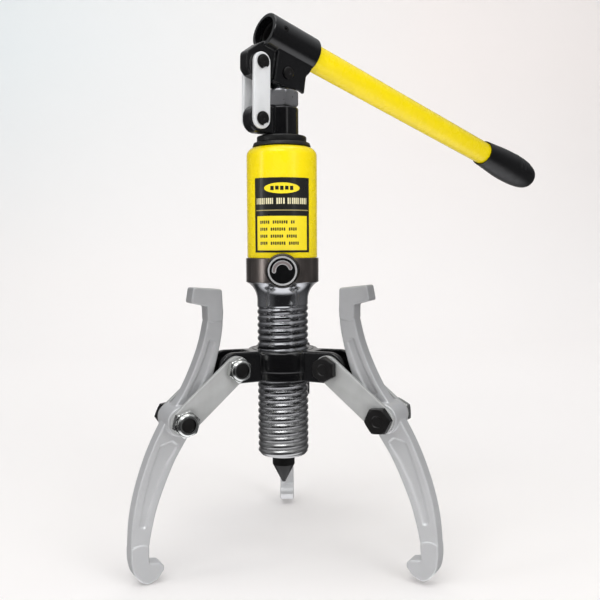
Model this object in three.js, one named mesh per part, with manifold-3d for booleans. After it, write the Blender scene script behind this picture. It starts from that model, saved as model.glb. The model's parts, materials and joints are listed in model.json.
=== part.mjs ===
// Self-contained hydraulic gear puller with three reversible-type jaws.
// Millimetres. Origin at the ram's centre point, +Z up the cylinder, front (release valve) at -Y.
import * as THREE from 'three';
import { mergeVertices } from 'three/addons/utils/BufferGeometryUtils.js';
import Module from 'manifold-3d';

const wasm = await Module();
wasm.setup();

// ---------- driving dimensions ----------
const GAP = 0.3; // clearance between separate pieces
const FINE = 30; // facets round the large, medium and small round pieces
const ROUND = 20;
const SMALL = 12;

// cylinder
const SLEEVE_R = 19;
const SLEEVE_BORE_R = 14;
const SLEEVE_BOTTOM = 22.5;
const SLEEVE_CHAMFER = 2;
const NECK_TOP = 138.9;
const FLARE_R = 15.5;
const FLARE_SWEEP_DEG = 61;
const COLLAR_R = 27;
const COLLAR_TOP = 170;
const BORE_TOP = 166;
const HEAD_BLOCK_R = 17.5;
const HEAD_BLOCK_TOP = 180;
const BOSS_R = 12;
const BOSS_FACE = 31;
const VALVE_Z = 161.5;
const GUIDE_TOP = 36;

const SHELL_R = 26;
const SHELL_WALL = 2;
const SHELL_TOP = 251;
const SHELL_SHOULDER = 6.5;
const SHELL_MOUTH_R = 15.3;
const LABEL_R = 26.15;
const LABEL_T = 0.3;
const LABEL_BOTTOM = 174.2;
const LABEL_TOP = 227.3;
const LABEL_HALF_DEG = 47;
const FLANGE_R = 21.7;
const FLANGE_H = 3;

// release valve
const KNOB_R = 11.2;
const KNOB_BACK = 31.5;
const KNOB_FACE = 38;
const KNOB_RING_R = 10.3;
const KNOB_RING_W = 1.3;
const STEM_R = 3;

// ram
const TIP_LAND_R = 1.2;
const TIP_CONE_H = 14;
const RAM_R = 8.4;
const TIP_TOP = 26;
const PISTON_BOTTOM = 150;
const PISTON_TOP = 162;
const SPRING_R = 11.2;
const SPRING_WIRE_R = 1.1;
const SPRING_TURNS = 8;

// swivelling pump head
const HEAD_YAW_DEG = 38;
const SWIVEL_R = 18.3;
const SWIVEL_BOTTOM = 254.6;
const SWIVEL_TOP = 259.2;
const COLUMN_R = 12.5;
const COLUMN_TOP = 280;
const GLAND_TOP = 292.2;
const GLAND_AF = 22;
const PLUNGER_R = 5;
const LUG_HALF_W = 4.7;
const LUG_REACH = 32;
const LUG_BOTTOM = 259.9;
const LUG_TOP = 279.5;
const SWIVEL_STEM_R = 9;
const SWIVEL_STEM_BOTTOM = 184;
const SEAL_SEAT = 276;
const LUG_CORNER_R = 8.7;
const LOWER_PIN = [-23.3, 269.2];
const UPPER_PIN = [-22.6, 308.9];
const PUMP_LINK_W = 14;
const PUMP_LINK_T = 3;
const PIN_R = 3.8;

// handle, drawn in its own frame: u along the tube, v square to it, origin on the plunger pivot
const PIVOT_Z = 304;
const HANDLE_TILT_DEG = 15;
const TUBE_V = 24.3;
const SOCKET_R = 13.4;
const SOCKET_U0 = -22.5;
const SOCKET_U1 = 22.2;
const TUBE_R = 10.1;
const TUBE_WALL = 2;
const TUBE_U0 = -16.5;
const GRIP_U0 = 240.5;
const GRIP_U1 = 317.5;
const EAR_HALF_W = 8;
const EAR_SLOT_HALF = 5.6;

// crosshead, links and jaws
const CROSSHEAD_YAW_DEG = -1.5;
const ARM_AZIMUTHS = [90, 210, 330];
const BUSH_R = 22.6;
const HUB_R = 27;
const HUB_BOTTOM = 80.4;
const HUB_TOP = 102.6;
const UPPER_PIVOT = [44.6, 91.9];
const LUG_END_R = 11.3;
const LUG_W = 22;
const LUG_SLOT_W = 13;
const LUG_SLOT_START = 31;
const LINK_LENGTH = 52.6;
const LINK_T = 3.2;
const LINK_END_R = 9.3;
const LINK_ANGLE_DEG = [38.7, 39.9, 37.6]; // below the horizontal
const BOLT_R = 5;
const BOLT_HOLE_R = 5.3;
const UPPER_HEX_AF = 16;
const LOWER_HEX_AF = 17;
const HEAD_H = 5.8;
const NUT_H = 8.4;
const JAW_T = 12;
const JAW_BOSS_R = 10.5;
const JAW_TILT_DEG = [0, -0.85, 0.85]; // top of the jaw towards the cylinder is positive
const POCKET_DEPTH = 2;

// jaw outline in its own frame: x outward, y up, origin on the jaw bolt
const JAW_HOOK = [[-34.5, 89.8], [-13, 92], [-11, 81.2], [-23, 78.2]];
const JAW_OUTER = [[-23.2, 68], [-19.1, 52], [-12.7, 36], [-4.3, 20], [4.6, 8], [12.8, -4],
  [21.3, -20], [27.8, -36], [32.8, -52], [36, -68], [37.4, -84], [37.6, -94], [35.6, -103], [31, -109]];
const JAW_CLAW = [[26.5, -111.4], [19.5, -109], [14.8, -103.6], [14.6, -100.5], [17, -98],
  [25.2, -96.4]];
const JAW_INNER = [[24.8, -86], [22.8, -76], [18.4, -60], [12, -44], [4.2, -28], [-4.5, -14.5],
  [-12, -2.5], [-19.6, 13], [-27, 32], [-31.8, 49], [-34.4, 62], [-35.1, 74]];
const UPPER_POCKET = [[-29.5, 52.5], [-24, 54.5], [-20.5, 44], [-14, 30], [-5.5, 15.5], [-12, 13],
  [-22, 32]];
const LOWER_POCKET = [[5.5, -13.5], [14.5, -15.5], [22, -34], [27.6, -53], [31.2, -70], [26.8, -72.5],
  [23.6, -60], [17.4, -44], [9.8, -29], [1.5, -17.5]];

// ---------- materials ----------
const material = (color, metalness, roughness) =>
  new THREE.MeshStandardMaterial({ color, metalness, roughness });
const COLORS = {
  chrome: [0x9a9a9c, 1, 0.2],
  yellow_paint: [0xf2d200, 0, 0.35],
  black_paint: [0x141414, 0, 0.3],
  zinc: [0xc4c6c6, 0.9, 0.35],
  forged: [0x9fa2a4, 0.8, 0.5],
  black_oxide: [0x1c1a1a, 0.6, 0.5],
  steel: [0xa8a8aa, 1, 0.35],
  rubber: [0x111111, 0, 0.8],
  label: [0x1a1a18, 0, 0.5],
};

// ---------- helpers ----------
const rad = THREE.MathUtils.degToRad;
const root = new THREE.Group();
root.name = 'hydraulic_gear_puller';

function toManifold(geometry) {
  let g = geometry.clone();
  g.deleteAttribute('normal');
  g.deleteAttribute('uv');
  g = mergeVertices(g, 1e-4);
  const make = (index) => new wasm.Manifold(new wasm.Mesh({
    numProp: 3,
    vertProperties: new Float32Array(g.attributes.position.array),
    triVerts: new Uint32Array(index),
  }));
  const index = Array.from(g.index.array);
  const solid = make(index);
  if (solid.volume() > 0) return solid;
  for (let i = 0; i < index.length; i += 3) {
    [index[i + 1], index[i + 2]] = [index[i + 2], index[i + 1]];
  }
  return make(index);
}

function add(name, solid, color) {
  const m = solid.getMesh();
  const g = new THREE.BufferGeometry();
  g.setAttribute('position', new THREE.BufferAttribute(new Float32Array(m.vertProperties), 3));
  g.setIndex(new THREE.BufferAttribute(new Uint32Array(m.triVerts), 1));
  g.computeVertexNormals();
  const mesh = new THREE.Mesh(g, material(...COLORS[color]));
  mesh.name = name;
  root.add(mesh);
}

// solid of revolution about Z from an [r, z] outline; a hollow outline closes on itself
function turned(outline, segments = ROUND) {
  const first = outline[0];
  const last = outline[outline.length - 1];
  const pts = outline.map(([r, z]) => new THREE.Vector2(r, z));
  if (first[0] !== 0 || last[0] !== 0) pts.push(new THREE.Vector2(first[0], first[1]));
  const g = new THREE.LatheGeometry(pts, segments);
  g.rotateX(Math.PI / 2);
  return toManifold(g);
}

const rod = (r, z0, z1, segments = SMALL) => turned([[0, z0], [r, z0], [r, z1], [0, z1]], segments);
const pipe = (r0, r1, z0, z1, segments = SMALL) =>
  turned([[r0, z0], [r1, z0], [r1, z1], [r0, z1]], segments);

function shapeOf(points) {
  return new THREE.Shape(points.map(([x, y]) => new THREE.Vector2(x, y)));
}

// prism of a shape, centred on its own mid plane
function plate(shape, thickness, curveSegments = 8) {
  const g = new THREE.ExtrudeGeometry(shape,
    { depth: thickness, bevelEnabled: false, curveSegments });
  g.translate(0, 0, -thickness / 2);
  return toManifold(g);
}

function hexRod(acrossFlats, z0, z1, turnDeg = 0) {
  return rod(acrossFlats / Math.sqrt(3), z0, z1, 6).rotate([0, 0, turnDeg]);
}

// puts a solid drawn in x = radial, y = up, z = sideways into the radial plane at an azimuth
function inPlane(solid, azimuthDeg) {
  return solid.rotate([90, 0, azimuthDeg]);
}

// arc of a circle as [x, y] points
function arc(cx, cy, r, fromDeg, toDeg, steps) {
  return Array.from({ length: steps + 1 }, (_, i) => {
    const a = rad(fromDeg + ((toDeg - fromDeg) * i) / steps);
    return [cx + r * Math.cos(a), cy + r * Math.sin(a)];
  });
}

// flat bar with round ends between two points
function roundedBar(a, b, r, thickness, steps = 7) {
  const dir = THREE.MathUtils.radToDeg(Math.atan2(b[1] - a[1], b[0] - a[0]));
  return plate(shapeOf([
    ...arc(a[0], a[1], r, dir + 90, dir + 270, steps),
    ...arc(b[0], b[1], r, dir - 90, dir + 90, steps),
  ]), thickness);
}

// ---------- cylinder ----------
const flare = arc(SLEEVE_R + FLARE_R, NECK_TOP, FLARE_R, 180, 180 - FLARE_SWEEP_DEG, 5);
const frontward = (solid) => solid.rotate([90, 0, 0]).translate([0, 0, VALVE_Z]);
const sleeveBody = turned([
  [SLEEVE_BORE_R, SLEEVE_BOTTOM],
  [SLEEVE_R - SLEEVE_CHAMFER, SLEEVE_BOTTOM],
  [SLEEVE_R, SLEEVE_BOTTOM + 1.5 * SLEEVE_CHAMFER],
  ...flare,
  [COLLAR_R, COLLAR_TOP],
  [HEAD_BLOCK_R, COLLAR_TOP],
  [HEAD_BLOCK_R, HEAD_BLOCK_TOP],
  [0, HEAD_BLOCK_TOP],
  [0, BORE_TOP],
  [SLEEVE_BORE_R, BORE_TOP],
], FINE);
const valveBoss = frontward(rod(BOSS_R, SLEEVE_BORE_R + 2, BOSS_FACE, ROUND));
const valveHole = frontward(rod(STEM_R + GAP, SLEEVE_BORE_R - 2, BOSS_FACE + 1, SMALL));
const shellRoom = rod(LABEL_R + LABEL_T + GAP, COLLAR_TOP, SHELL_TOP, FINE);
const boreRoom = rod(HEAD_BLOCK_R, 0, COLLAR_TOP, FINE);
add('cylinder_sleeve', sleeveBody.add(valveBoss.subtract(boreRoom).subtract(shellRoom))
  .subtract(valveHole), 'chrome');
const aroundRam = (z0, z1) => pipe(RAM_R + GAP, SLEEVE_BORE_R - GAP, z0, z1, ROUND);
add('ram_guide', aroundRam(SLEEVE_BOTTOM + GAP, GUIDE_TOP), 'steel');
add('wiper_seal', aroundRam(GUIDE_TOP + GAP, GUIDE_TOP + 3), 'rubber');

const shoulder = (r, top, corner) => arc(r - corner, top - corner, corner, 0, 90, 4);
add('reservoir_shell', turned([
  [SHELL_R - SHELL_WALL, COLLAR_TOP + GAP],
  [SHELL_R, COLLAR_TOP + GAP],
  ...shoulder(SHELL_R, SHELL_TOP, SHELL_SHOULDER),
  [SHELL_MOUTH_R, SHELL_TOP],
  [SHELL_MOUTH_R, SHELL_TOP - SHELL_WALL],
  ...shoulder(SHELL_R - SHELL_WALL, SHELL_TOP - SHELL_WALL, SHELL_SHOULDER - SHELL_WALL).reverse(),
], FINE), 'yellow_paint');
add('top_flange', turned([
  [SWIVEL_STEM_R + GAP, SHELL_TOP + GAP],
  [FLANGE_R, SHELL_TOP + GAP],
  [FLANGE_R - 1, SHELL_TOP + GAP + FLANGE_H],
  [SWIVEL_STEM_R + GAP, SHELL_TOP + GAP + FLANGE_H],
], FINE), 'black_paint');
const labelShape = shapeOf([
  ...arc(0, 0, LABEL_R, -90 - LABEL_HALF_DEG, -90 + LABEL_HALF_DEG, SMALL),
  ...arc(0, 0, LABEL_R + LABEL_T, -90 + LABEL_HALF_DEG, -90 - LABEL_HALF_DEG, SMALL),
]);
add('label', plate(labelShape, LABEL_TOP - LABEL_BOTTOM)
  .translate([0, 0, (LABEL_TOP + LABEL_BOTTOM) / 2]), 'label');

// ---------- release valve ----------
const RING_RECESS = 0.8;
const ringGroove = pipe(KNOB_RING_R - KNOB_RING_W - GAP, KNOB_RING_R + GAP,
  KNOB_FACE - RING_RECESS - GAP, KNOB_FACE + 1, ROUND);
add('release_knob', frontward(rod(KNOB_R, KNOB_BACK, KNOB_FACE, ROUND)
  .subtract(ringGroove)
  .subtract(rod(STEM_R + GAP, KNOB_BACK - 1, KNOB_FACE - 2, SMALL))), 'black_paint');
add('knob_ring', frontward(pipe(KNOB_RING_R - KNOB_RING_W, KNOB_RING_R,
  KNOB_FACE - RING_RECESS, KNOB_FACE + 0.2, ROUND)), 'chrome');
add('valve_stem', frontward(turned([
  [0, SLEEVE_BORE_R + 1.5],
  [STEM_R, SLEEVE_BORE_R + 4.5],
  [STEM_R, KNOB_FACE - 2 - GAP],
  [0, KNOB_FACE - 2 - GAP],
], SMALL)), 'steel');

// ---------- ram ----------
add('ram_tip', turned([
  [0, 0],
  [TIP_LAND_R, 0],
  [RAM_R, TIP_CONE_H],
  [RAM_R, TIP_TOP],
  [0, TIP_TOP],
], ROUND), 'black_oxide');
add('ram_rod', rod(RAM_R, TIP_TOP + GAP, PISTON_BOTTOM - GAP, ROUND), 'steel');
const sealTop = PISTON_BOTTOM + 8;
add('ram_piston', rod(SLEEVE_BORE_R - GAP, PISTON_BOTTOM, PISTON_TOP, ROUND)
  .subtract(pipe(SLEEVE_BORE_R - 3, SLEEVE_BORE_R, PISTON_BOTTOM + 4, sealTop, ROUND)), 'steel');
add('piston_seal', pipe(SLEEVE_BORE_R - 3 + GAP, SLEEVE_BORE_R - GAP,
  PISTON_BOTTOM + 4 + GAP, sealTop - GAP, ROUND), 'rubber');

class Helix extends THREE.Curve {
  getPoint(t) {
    const turn = 2 * Math.PI * SPRING_TURNS * t;
    const low = GUIDE_TOP + 3 + GAP + SPRING_WIRE_R;
    const high = PISTON_BOTTOM - GAP - SPRING_WIRE_R;
    return new THREE.Vector3(SPRING_R * Math.cos(turn), SPRING_R * Math.sin(turn),
      low + (high - low) * t);
  }
}
const wire = shapeOf(arc(0, 0, SPRING_WIRE_R, 0, 288, 4));
add('return_spring', toManifold(new THREE.ExtrudeGeometry(wire,
  { steps: SPRING_TURNS * 8, bevelEnabled: false, extrudePath: new Helix() })), 'steel');

// ---------- swivelling pump head ----------
add('swivel_ring', turned([
  [0, SWIVEL_STEM_BOTTOM],
  [SWIVEL_STEM_R, SWIVEL_STEM_BOTTOM],
  [SWIVEL_STEM_R, SWIVEL_BOTTOM],
  [SWIVEL_R, SWIVEL_BOTTOM],
  [SWIVEL_R, SWIVEL_TOP - 1],
  [SWIVEL_R - 1, SWIVEL_TOP],
  [0, SWIVEL_TOP],
], FINE), 'black_paint');

const inHead = (solid) => inPlane(solid, HEAD_YAW_DEG);
// round bar along the sideways axis of a plane drawing
const crossBar = (x, y, r, w0, w1, segments = SMALL) => rod(r, w0, w1, segments).translate([x, y, 0]);
const throughHole = (x, y, r) => crossBar(x, y, r, -30, 30);
const lugShape = shapeOf([
  [-COLUMN_R + 3, LUG_BOTTOM],
  [-COLUMN_R + 3, LUG_TOP],
  ...arc(-LUG_REACH + LUG_CORNER_R, LUG_TOP - LUG_CORNER_R, LUG_CORNER_R, 90, 180, 5),
  ...arc(-LUG_REACH + LUG_CORNER_R, LUG_BOTTOM + LUG_CORNER_R, LUG_CORNER_R, 180, 270, 5),
]);
const column = turned([
  [0, SWIVEL_TOP + GAP],
  [COLUMN_R, SWIVEL_TOP + GAP],
  [COLUMN_R, COLUMN_TOP - 1],
  [COLUMN_R - 1, COLUMN_TOP],
  [0, COLUMN_TOP],
], ROUND);
add('pump_body', column
  .add(inHead(plate(lugShape, 2 * LUG_HALF_W)))
  .subtract(inHead(throughHole(...LOWER_PIN, PIN_R + GAP)))
  .subtract(rod(PLUNGER_R + GAP, SWIVEL_TOP + 4, COLUMN_TOP + 1, SMALL))
  .subtract(rod(COLUMN_R - 3, SEAL_SEAT, COLUMN_TOP + 1, SMALL)), 'black_paint');
add('plunger_seal', pipe(PLUNGER_R + GAP, COLUMN_R - 3 - GAP, SEAL_SEAT + GAP, COLUMN_TOP - GAP, SMALL),
  'rubber');
const GLAND_TURN_DEG = -43.5;
const glandCorner = GLAND_AF / Math.sqrt(3);
add('gland_nut', hexRod(GLAND_AF, COLUMN_TOP + GAP, GLAND_TOP, GLAND_TURN_DEG)
  .intersect(turned([
    [0, COLUMN_TOP],
    [glandCorner, COLUMN_TOP],
    [glandCorner, GLAND_TOP - 1],
    [GLAND_AF / 2 - 0.5, GLAND_TOP],
    [0, GLAND_TOP],
  ], ROUND))
  .subtract(rod(PLUNGER_R + GAP, COLUMN_TOP - 1, GLAND_TOP + 1, SMALL)), 'zinc');

const linkInner = LUG_HALF_W + GAP;
const linkOuter = linkInner + PUMP_LINK_T;
const CLIP_T = 1;
const CLIP_GROOVE = 0.8;
const pinEnd = linkOuter + GAP + CLIP_T + 0.8;
function pinWithClips(prefix, at) {
  let pin = crossBar(...at, PIN_R, -pinEnd, pinEnd);
  for (const [side, sign] of [['front', 1], ['rear', -1]]) {
    const near = sign * (linkOuter + GAP);
    const far = sign * (linkOuter + GAP + CLIP_T);
    const [low, high] = [Math.min(near, far), Math.max(near, far)];
    const groove = pipe(PIN_R - CLIP_GROOVE, PIN_R + 1, low - GAP / 2, high + GAP / 2);
    pin = pin.subtract(groove.translate([...at, 0]));
    const clip = pipe(PIN_R - CLIP_GROOVE + GAP, PIN_R + 1.2, low, high);
    add(`${prefix}_clip_${side}`, inHead(clip.translate([...at, 0])), 'black_oxide');
  }
  add(`${prefix}_pin`, inHead(pin), 'black_oxide');
}
pinWithClips('lower_link', LOWER_PIN);
pinWithClips('upper_link', UPPER_PIN);
for (const [side, sign] of [['front', 1], ['rear', -1]]) {
  const bar = roundedBar(LOWER_PIN, UPPER_PIN, PUMP_LINK_W / 2, PUMP_LINK_T)
    .subtract(throughHole(...LOWER_PIN, PIN_R + GAP))
    .subtract(throughHole(...UPPER_PIN, PIN_R + GAP));
  const middle = sign * (linkInner + PUMP_LINK_T / 2);
  add(`pump_link_${side}`, inHead(bar.translate([0, 0, middle])), 'zinc');
}

// ---------- plunger ----------
const EYE_R = 7.5;
const EYE_HALF_W = EAR_SLOT_HALF - GAP;
const PIVOT_BOLT_R = 3;
const EYE_SLOT_HALF = 1.4;
const EYE_SLOT_R = 3.6;
const TANG_HALF = 4.2;
const TANG_BOTTOM = 293.5;
const tang = shapeOf([[-TANG_HALF, TANG_BOTTOM], [TANG_HALF, TANG_BOTTOM], [TANG_HALF, PIVOT_Z],
  [-TANG_HALF, PIVOT_Z]]);
const eyeSlot = roundedBar([-EYE_SLOT_HALF, PIVOT_Z], [EYE_SLOT_HALF, PIVOT_Z], EYE_SLOT_R,
  4 * EYE_HALF_W);
add('plunger', rod(PLUNGER_R, SWIVEL_TOP + 7, TANG_BOTTOM + 1.5, SMALL)
  .add(inHead(plate(tang, 2 * PLUNGER_R - 2.5)))
  .add(inHead(crossBar(0, PIVOT_Z, EYE_R, -EYE_HALF_W, EYE_HALF_W, ROUND)))
  .subtract(inHead(eyeSlot)), 'steel');

// ---------- handle ----------
const inHandle = (solid) =>
  inHead(solid.rotate([0, 0, -HANDLE_TILT_DEG]).translate([0, PIVOT_Z, 0]));
// round solid drawn along Z laid along u at the tube's height
const alongTube = (solid) => solid.rotate([0, 90, 0]).translate([0, TUBE_V, 0]);
const toHandle = ([r, z]) => {
  const a = rad(HANDLE_TILT_DEG);
  const h = z - PIVOT_Z;
  return [r * Math.cos(a) - h * Math.sin(a), r * Math.sin(a) + h * Math.cos(a)];
};
const tongue = shapeOf([[-28, -12], [5, -12], [5, 20], [-20, 18], [-27.4, 11.8], [-35.4, 2.4],
  [-32.6, -9]]);
const ears = shapeOf([[-10, -10.4], [2, -9.8], [13.5, -8.2], [18.4, -8.8], [17, 4.5], [19.5, 8],
  [21.6, 13.5], [22, 20], [-13, 22]]);
const plungerSlot = shapeOf([[-10.2, -20], [40, -20], [40, 11], [-10.2, 11]]);
const SCREW_U = -12.8;
const SCREW_RISE_DEG = 12;
const SCREW_R = 2;
const screwAt = (solid) => solid.rotate([-SCREW_RISE_DEG, 0, 0]).translate([SCREW_U, TUBE_V, 0]);
add('socket_casting', inHandle(alongTube(rod(SOCKET_R, SOCKET_U0, SOCKET_U1, ROUND))
  .add(plate(tongue, 2 * LUG_HALF_W))
  .add(plate(ears, 2 * EAR_HALF_W))
  .subtract(plate(plungerSlot, 2 * EAR_SLOT_HALF))
  .subtract(alongTube(rod(TUBE_R + GAP, SOCKET_U0 - 2, SOCKET_U1 + 2, ROUND)))
  .subtract(throughHole(...toHandle(UPPER_PIN), PIN_R + GAP))
  .subtract(throughHole(0, 0, PIVOT_BOLT_R + GAP))
  .subtract(screwAt(rod(SCREW_R + GAP, 2, 20, SMALL)))), 'black_paint');
const BOLT_HEAD_R = 4.4;
const BOLT_HEAD_H = 1.6;
const boltHeadInner = EAR_HALF_W + GAP;
add('pivot_bolt', inHandle(crossBar(0, 0, PIVOT_BOLT_R, -EAR_HALF_W, boltHeadInner + 1)
  .add(crossBar(0, 0, BOLT_HEAD_R, boltHeadInner, boltHeadInner + BOLT_HEAD_H))), 'black_oxide');
const setScrew = rod(SCREW_R, TUBE_R + GAP / 2, SOCKET_R - GAP, SMALL);
add('set_screw', inHandle(screwAt(setScrew)), 'black_oxide');
const TUBE_END_COVER = 8;
add('handle_tube', inHandle(alongTube(pipe(TUBE_R - TUBE_WALL, TUBE_R, TUBE_U0,
  GRIP_U1 - TUBE_END_COVER, ROUND))), 'yellow_paint');
// grip radius against its length, from the mouth (0) to the end (1)
const GRIP_PROFILE = [[0, 11.5], [0.17, 12.6], [0.35, 13.8], [0.52, 14.3], [0.7, 14],
  [0.84, 12.9], [0.94, 11], [1, 8]];
add('handle_grip', inHandle(alongTube(turned([
  [TUBE_R + GAP, GRIP_U0],
  ...GRIP_PROFILE.map(([t, r]) => [r, GRIP_U0 + t * (GRIP_U1 - GRIP_U0)]),
  [0, GRIP_U1],
  [0, GRIP_U1 - TUBE_END_COVER + GAP],
  [TUBE_R + GAP, GRIP_U1 - TUBE_END_COVER + GAP],
], ROUND))), 'rubber');

// ---------- crosshead ----------
add('threaded_bush', pipe(SLEEVE_R + GAP, BUSH_R, HUB_BOTTOM, HUB_TOP, FINE), 'black_paint');
const armLug = shapeOf([
  [BUSH_R - 2, HUB_BOTTOM],
  ...arc(...UPPER_PIVOT, LUG_END_R, -90, 90, 8),
  [BUSH_R - 2, HUB_TOP],
]);
const armAzimuths = ARM_AZIMUTHS.map((a) => a + CROSSHEAD_YAW_DEG);
let crosshead = rod(HUB_R, HUB_BOTTOM, HUB_TOP, FINE);
for (const azimuth of armAzimuths) {
  const slot = shapeOf([[LUG_SLOT_START, 0], [90, 0], [90, 150], [LUG_SLOT_START, 150]]);
  crosshead = crosshead.add(inPlane(plate(armLug, LUG_W)
    .subtract(plate(slot, LUG_SLOT_W))
    .subtract(throughHole(...UPPER_PIVOT, BOLT_HOLE_R)), azimuth));
}
add('crosshead', crosshead.subtract(rod(BUSH_R + GAP, 0, 200, FINE)), 'black_paint');

// ---------- links, bolts, nuts and jaws ----------
const plateInner = LUG_W / 2 + GAP;
const plateOuter = plateInner + LINK_T;
const headInner = plateOuter + GAP;
const NUT_HEX_H = 5.8;
const NUT_TURN_DEG = 20;
function boltAndNut(prefix, at, place, acrossFlats) {
  const shank = crossBar(...at, BOLT_R, -headInner - NUT_H + 0.8, headInner + 1);
  const head = hexRod(acrossFlats, headInner, headInner + HEAD_H).translate([...at, 0]);
  add(`${prefix}_bolt`, place(shank.add(head)), 'black_oxide');
  add(`${prefix}_nut`, place(hexRod(acrossFlats, -headInner - NUT_HEX_H, -headInner, NUT_TURN_DEG)
    .add(rod(acrossFlats / 2 - 0.6, -headInner - NUT_H, -headInner - 1, SMALL))
    .subtract(rod(BOLT_HOLE_R, -headInner - NUT_H - 1, -headInner + 1, SMALL))
    .translate([...at, 0])), 'zinc');
}

const vectors = (points) => points.map(([x, y]) => new THREE.Vector2(x, y));
const jawOutline = new THREE.Shape();
jawOutline.moveTo(...JAW_HOOK[0]);
for (const p of JAW_HOOK.slice(1)) jawOutline.lineTo(...p);
jawOutline.lineTo(...JAW_OUTER[0]);
jawOutline.splineThru(vectors(JAW_OUTER.slice(1)));
for (const p of JAW_CLAW) jawOutline.lineTo(...p);
jawOutline.lineTo(...JAW_INNER[0]);
jawOutline.splineThru(vectors(JAW_INNER.slice(1)));
jawOutline.closePath();
const JAW_CURVE_STEPS = 2;
let jaw = plate(jawOutline, JAW_T, JAW_CURVE_STEPS)
  .add(crossBar(0, 0, JAW_BOSS_R, -LUG_W / 2, LUG_W / 2, ROUND))
  .subtract(throughHole(0, 0, BOLT_HOLE_R));
for (const pocket of [UPPER_POCKET, LOWER_POCKET]) {
  for (const side of [-1, 1]) {
    const cut = plate(shapeOf(pocket), 2 * POCKET_DEPTH).translate([0, 0, (side * JAW_T) / 2]);
    jaw = jaw.subtract(cut);
  }
}

armAzimuths.forEach((azimuth, i) => {
  const n = i + 1;
  const drop = rad(LINK_ANGLE_DEG[i]);
  const lowerPivot = [
    UPPER_PIVOT[0] + LINK_LENGTH * Math.cos(drop),
    UPPER_PIVOT[1] - LINK_LENGTH * Math.sin(drop),
  ];
  const place = (solid) => inPlane(solid, azimuth);
  const link = roundedBar(UPPER_PIVOT, lowerPivot, LINK_END_R, LINK_T)
    .subtract(throughHole(...UPPER_PIVOT, BOLT_HOLE_R))
    .subtract(throughHole(...lowerPivot, BOLT_HOLE_R));
  const linkMid = plateInner + LINK_T / 2;
  add(`link_${n}_a`, place(link.translate([0, 0, linkMid])), 'zinc');
  add(`link_${n}_b`, place(link.translate([0, 0, -linkMid])), 'zinc');
  boltAndNut(`upper_${n}`, UPPER_PIVOT, place, UPPER_HEX_AF);
  boltAndNut(`lower_${n}`, lowerPivot, place, LOWER_HEX_AF);
  add(`jaw_${n}`, place(jaw.rotate([0, 0, JAW_TILT_DEG[i]]).translate([...lowerPivot, 0])), 'forged');
});

export default root;
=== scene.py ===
import json
import math

import bmesh
import bpy
from mathutils import Matrix, Vector


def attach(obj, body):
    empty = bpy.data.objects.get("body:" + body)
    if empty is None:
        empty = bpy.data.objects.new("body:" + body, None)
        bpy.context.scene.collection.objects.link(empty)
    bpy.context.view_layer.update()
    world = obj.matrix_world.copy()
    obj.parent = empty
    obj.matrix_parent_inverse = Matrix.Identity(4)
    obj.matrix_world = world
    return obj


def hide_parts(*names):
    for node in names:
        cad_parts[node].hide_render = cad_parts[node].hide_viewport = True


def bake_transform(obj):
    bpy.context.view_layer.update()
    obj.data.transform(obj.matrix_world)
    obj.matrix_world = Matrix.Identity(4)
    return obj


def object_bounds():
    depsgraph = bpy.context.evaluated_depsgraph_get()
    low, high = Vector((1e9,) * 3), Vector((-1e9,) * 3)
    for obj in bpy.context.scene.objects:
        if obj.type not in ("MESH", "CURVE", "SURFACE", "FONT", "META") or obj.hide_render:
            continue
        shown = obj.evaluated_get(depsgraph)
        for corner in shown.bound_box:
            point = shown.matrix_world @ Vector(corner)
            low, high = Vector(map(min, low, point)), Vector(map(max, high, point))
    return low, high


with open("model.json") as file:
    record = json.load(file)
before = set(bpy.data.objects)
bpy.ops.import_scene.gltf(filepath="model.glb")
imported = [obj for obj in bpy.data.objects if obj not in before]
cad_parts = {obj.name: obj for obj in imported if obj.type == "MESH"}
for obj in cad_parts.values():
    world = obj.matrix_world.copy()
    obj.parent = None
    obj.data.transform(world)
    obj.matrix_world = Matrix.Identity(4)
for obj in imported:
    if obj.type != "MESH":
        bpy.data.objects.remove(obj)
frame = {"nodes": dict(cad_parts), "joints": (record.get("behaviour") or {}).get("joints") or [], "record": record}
CAD_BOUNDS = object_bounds()
JOINTS = {j["name"]: j for j in frame["joints"]}
MM = 0.001
rad = math.radians
collection = bpy.context.scene.collection

# ---------------------------------------------------------------- sizes in mm, as the CAD model has them
SLEEVE_R, BORE_R, SLEEVE_BOTTOM = 19.0, 14.0, 22.5
THREAD_PITCH, THREAD_DEPTH, THREAD_TOP = 5.0, 1.0, 134.0
NECK_TOP, FLARE_R, FLARE_SWEEP = 138.9, 15.5, 61
COLLAR_TOP, COLLAR_R, GUIDE_TOP = 170.0, 27.0, 36.0
BOSS_R, BOSS_FACE, VALVE_Z = 12.0, 31.0, 161.5
SHELL_R, SHELL_TOP, SHELL_WALL, SHELL_SHOULDER = 26.0, 251.0, 2.0, 6.5
GAP = 0.3
KNOB_R, KNOB_BACK, KNOB_FACE, KNOB_RING_R, KNOB_RING_W = 11.2, 31.5, 38.0, 10.3, 1.3
RAM_R, TIP_CONE_H, TIP_TOP = 8.4, 14.0, 26.0
PIVOT_Z, TILT, TUBE_V = 304.0, 15.0, 24.3
TUBE_R, TUBE_WALL, TUBE_U0 = 10.1, 2.0, -16.5
SOCKET_R, SOCKET_U0, SOCKET_U1 = 13.4, -22.5, 22.2
EAR_HALF_W, EAR_SLOT_HALF = 8.0, 5.6
GRIP_U0, GRIP_U1 = 240.5, 317.5
LUG_HALF_W, LUG_REACH, LUG_CORNER_R, LUG_BOTTOM, LUG_TOP = 4.7, 32.0, 8.7, 259.9, 279.5
COLUMN_R, COLUMN_TOP = 12.5, 280.0
GLAND_AF, GLAND_TOP, GLAND_TURN = 22.0, 292.2, -43.5
HUB_R, HUB_BOTTOM, HUB_TOP, BUSH_R = 27.0, 80.4, 102.6, 22.6
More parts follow.
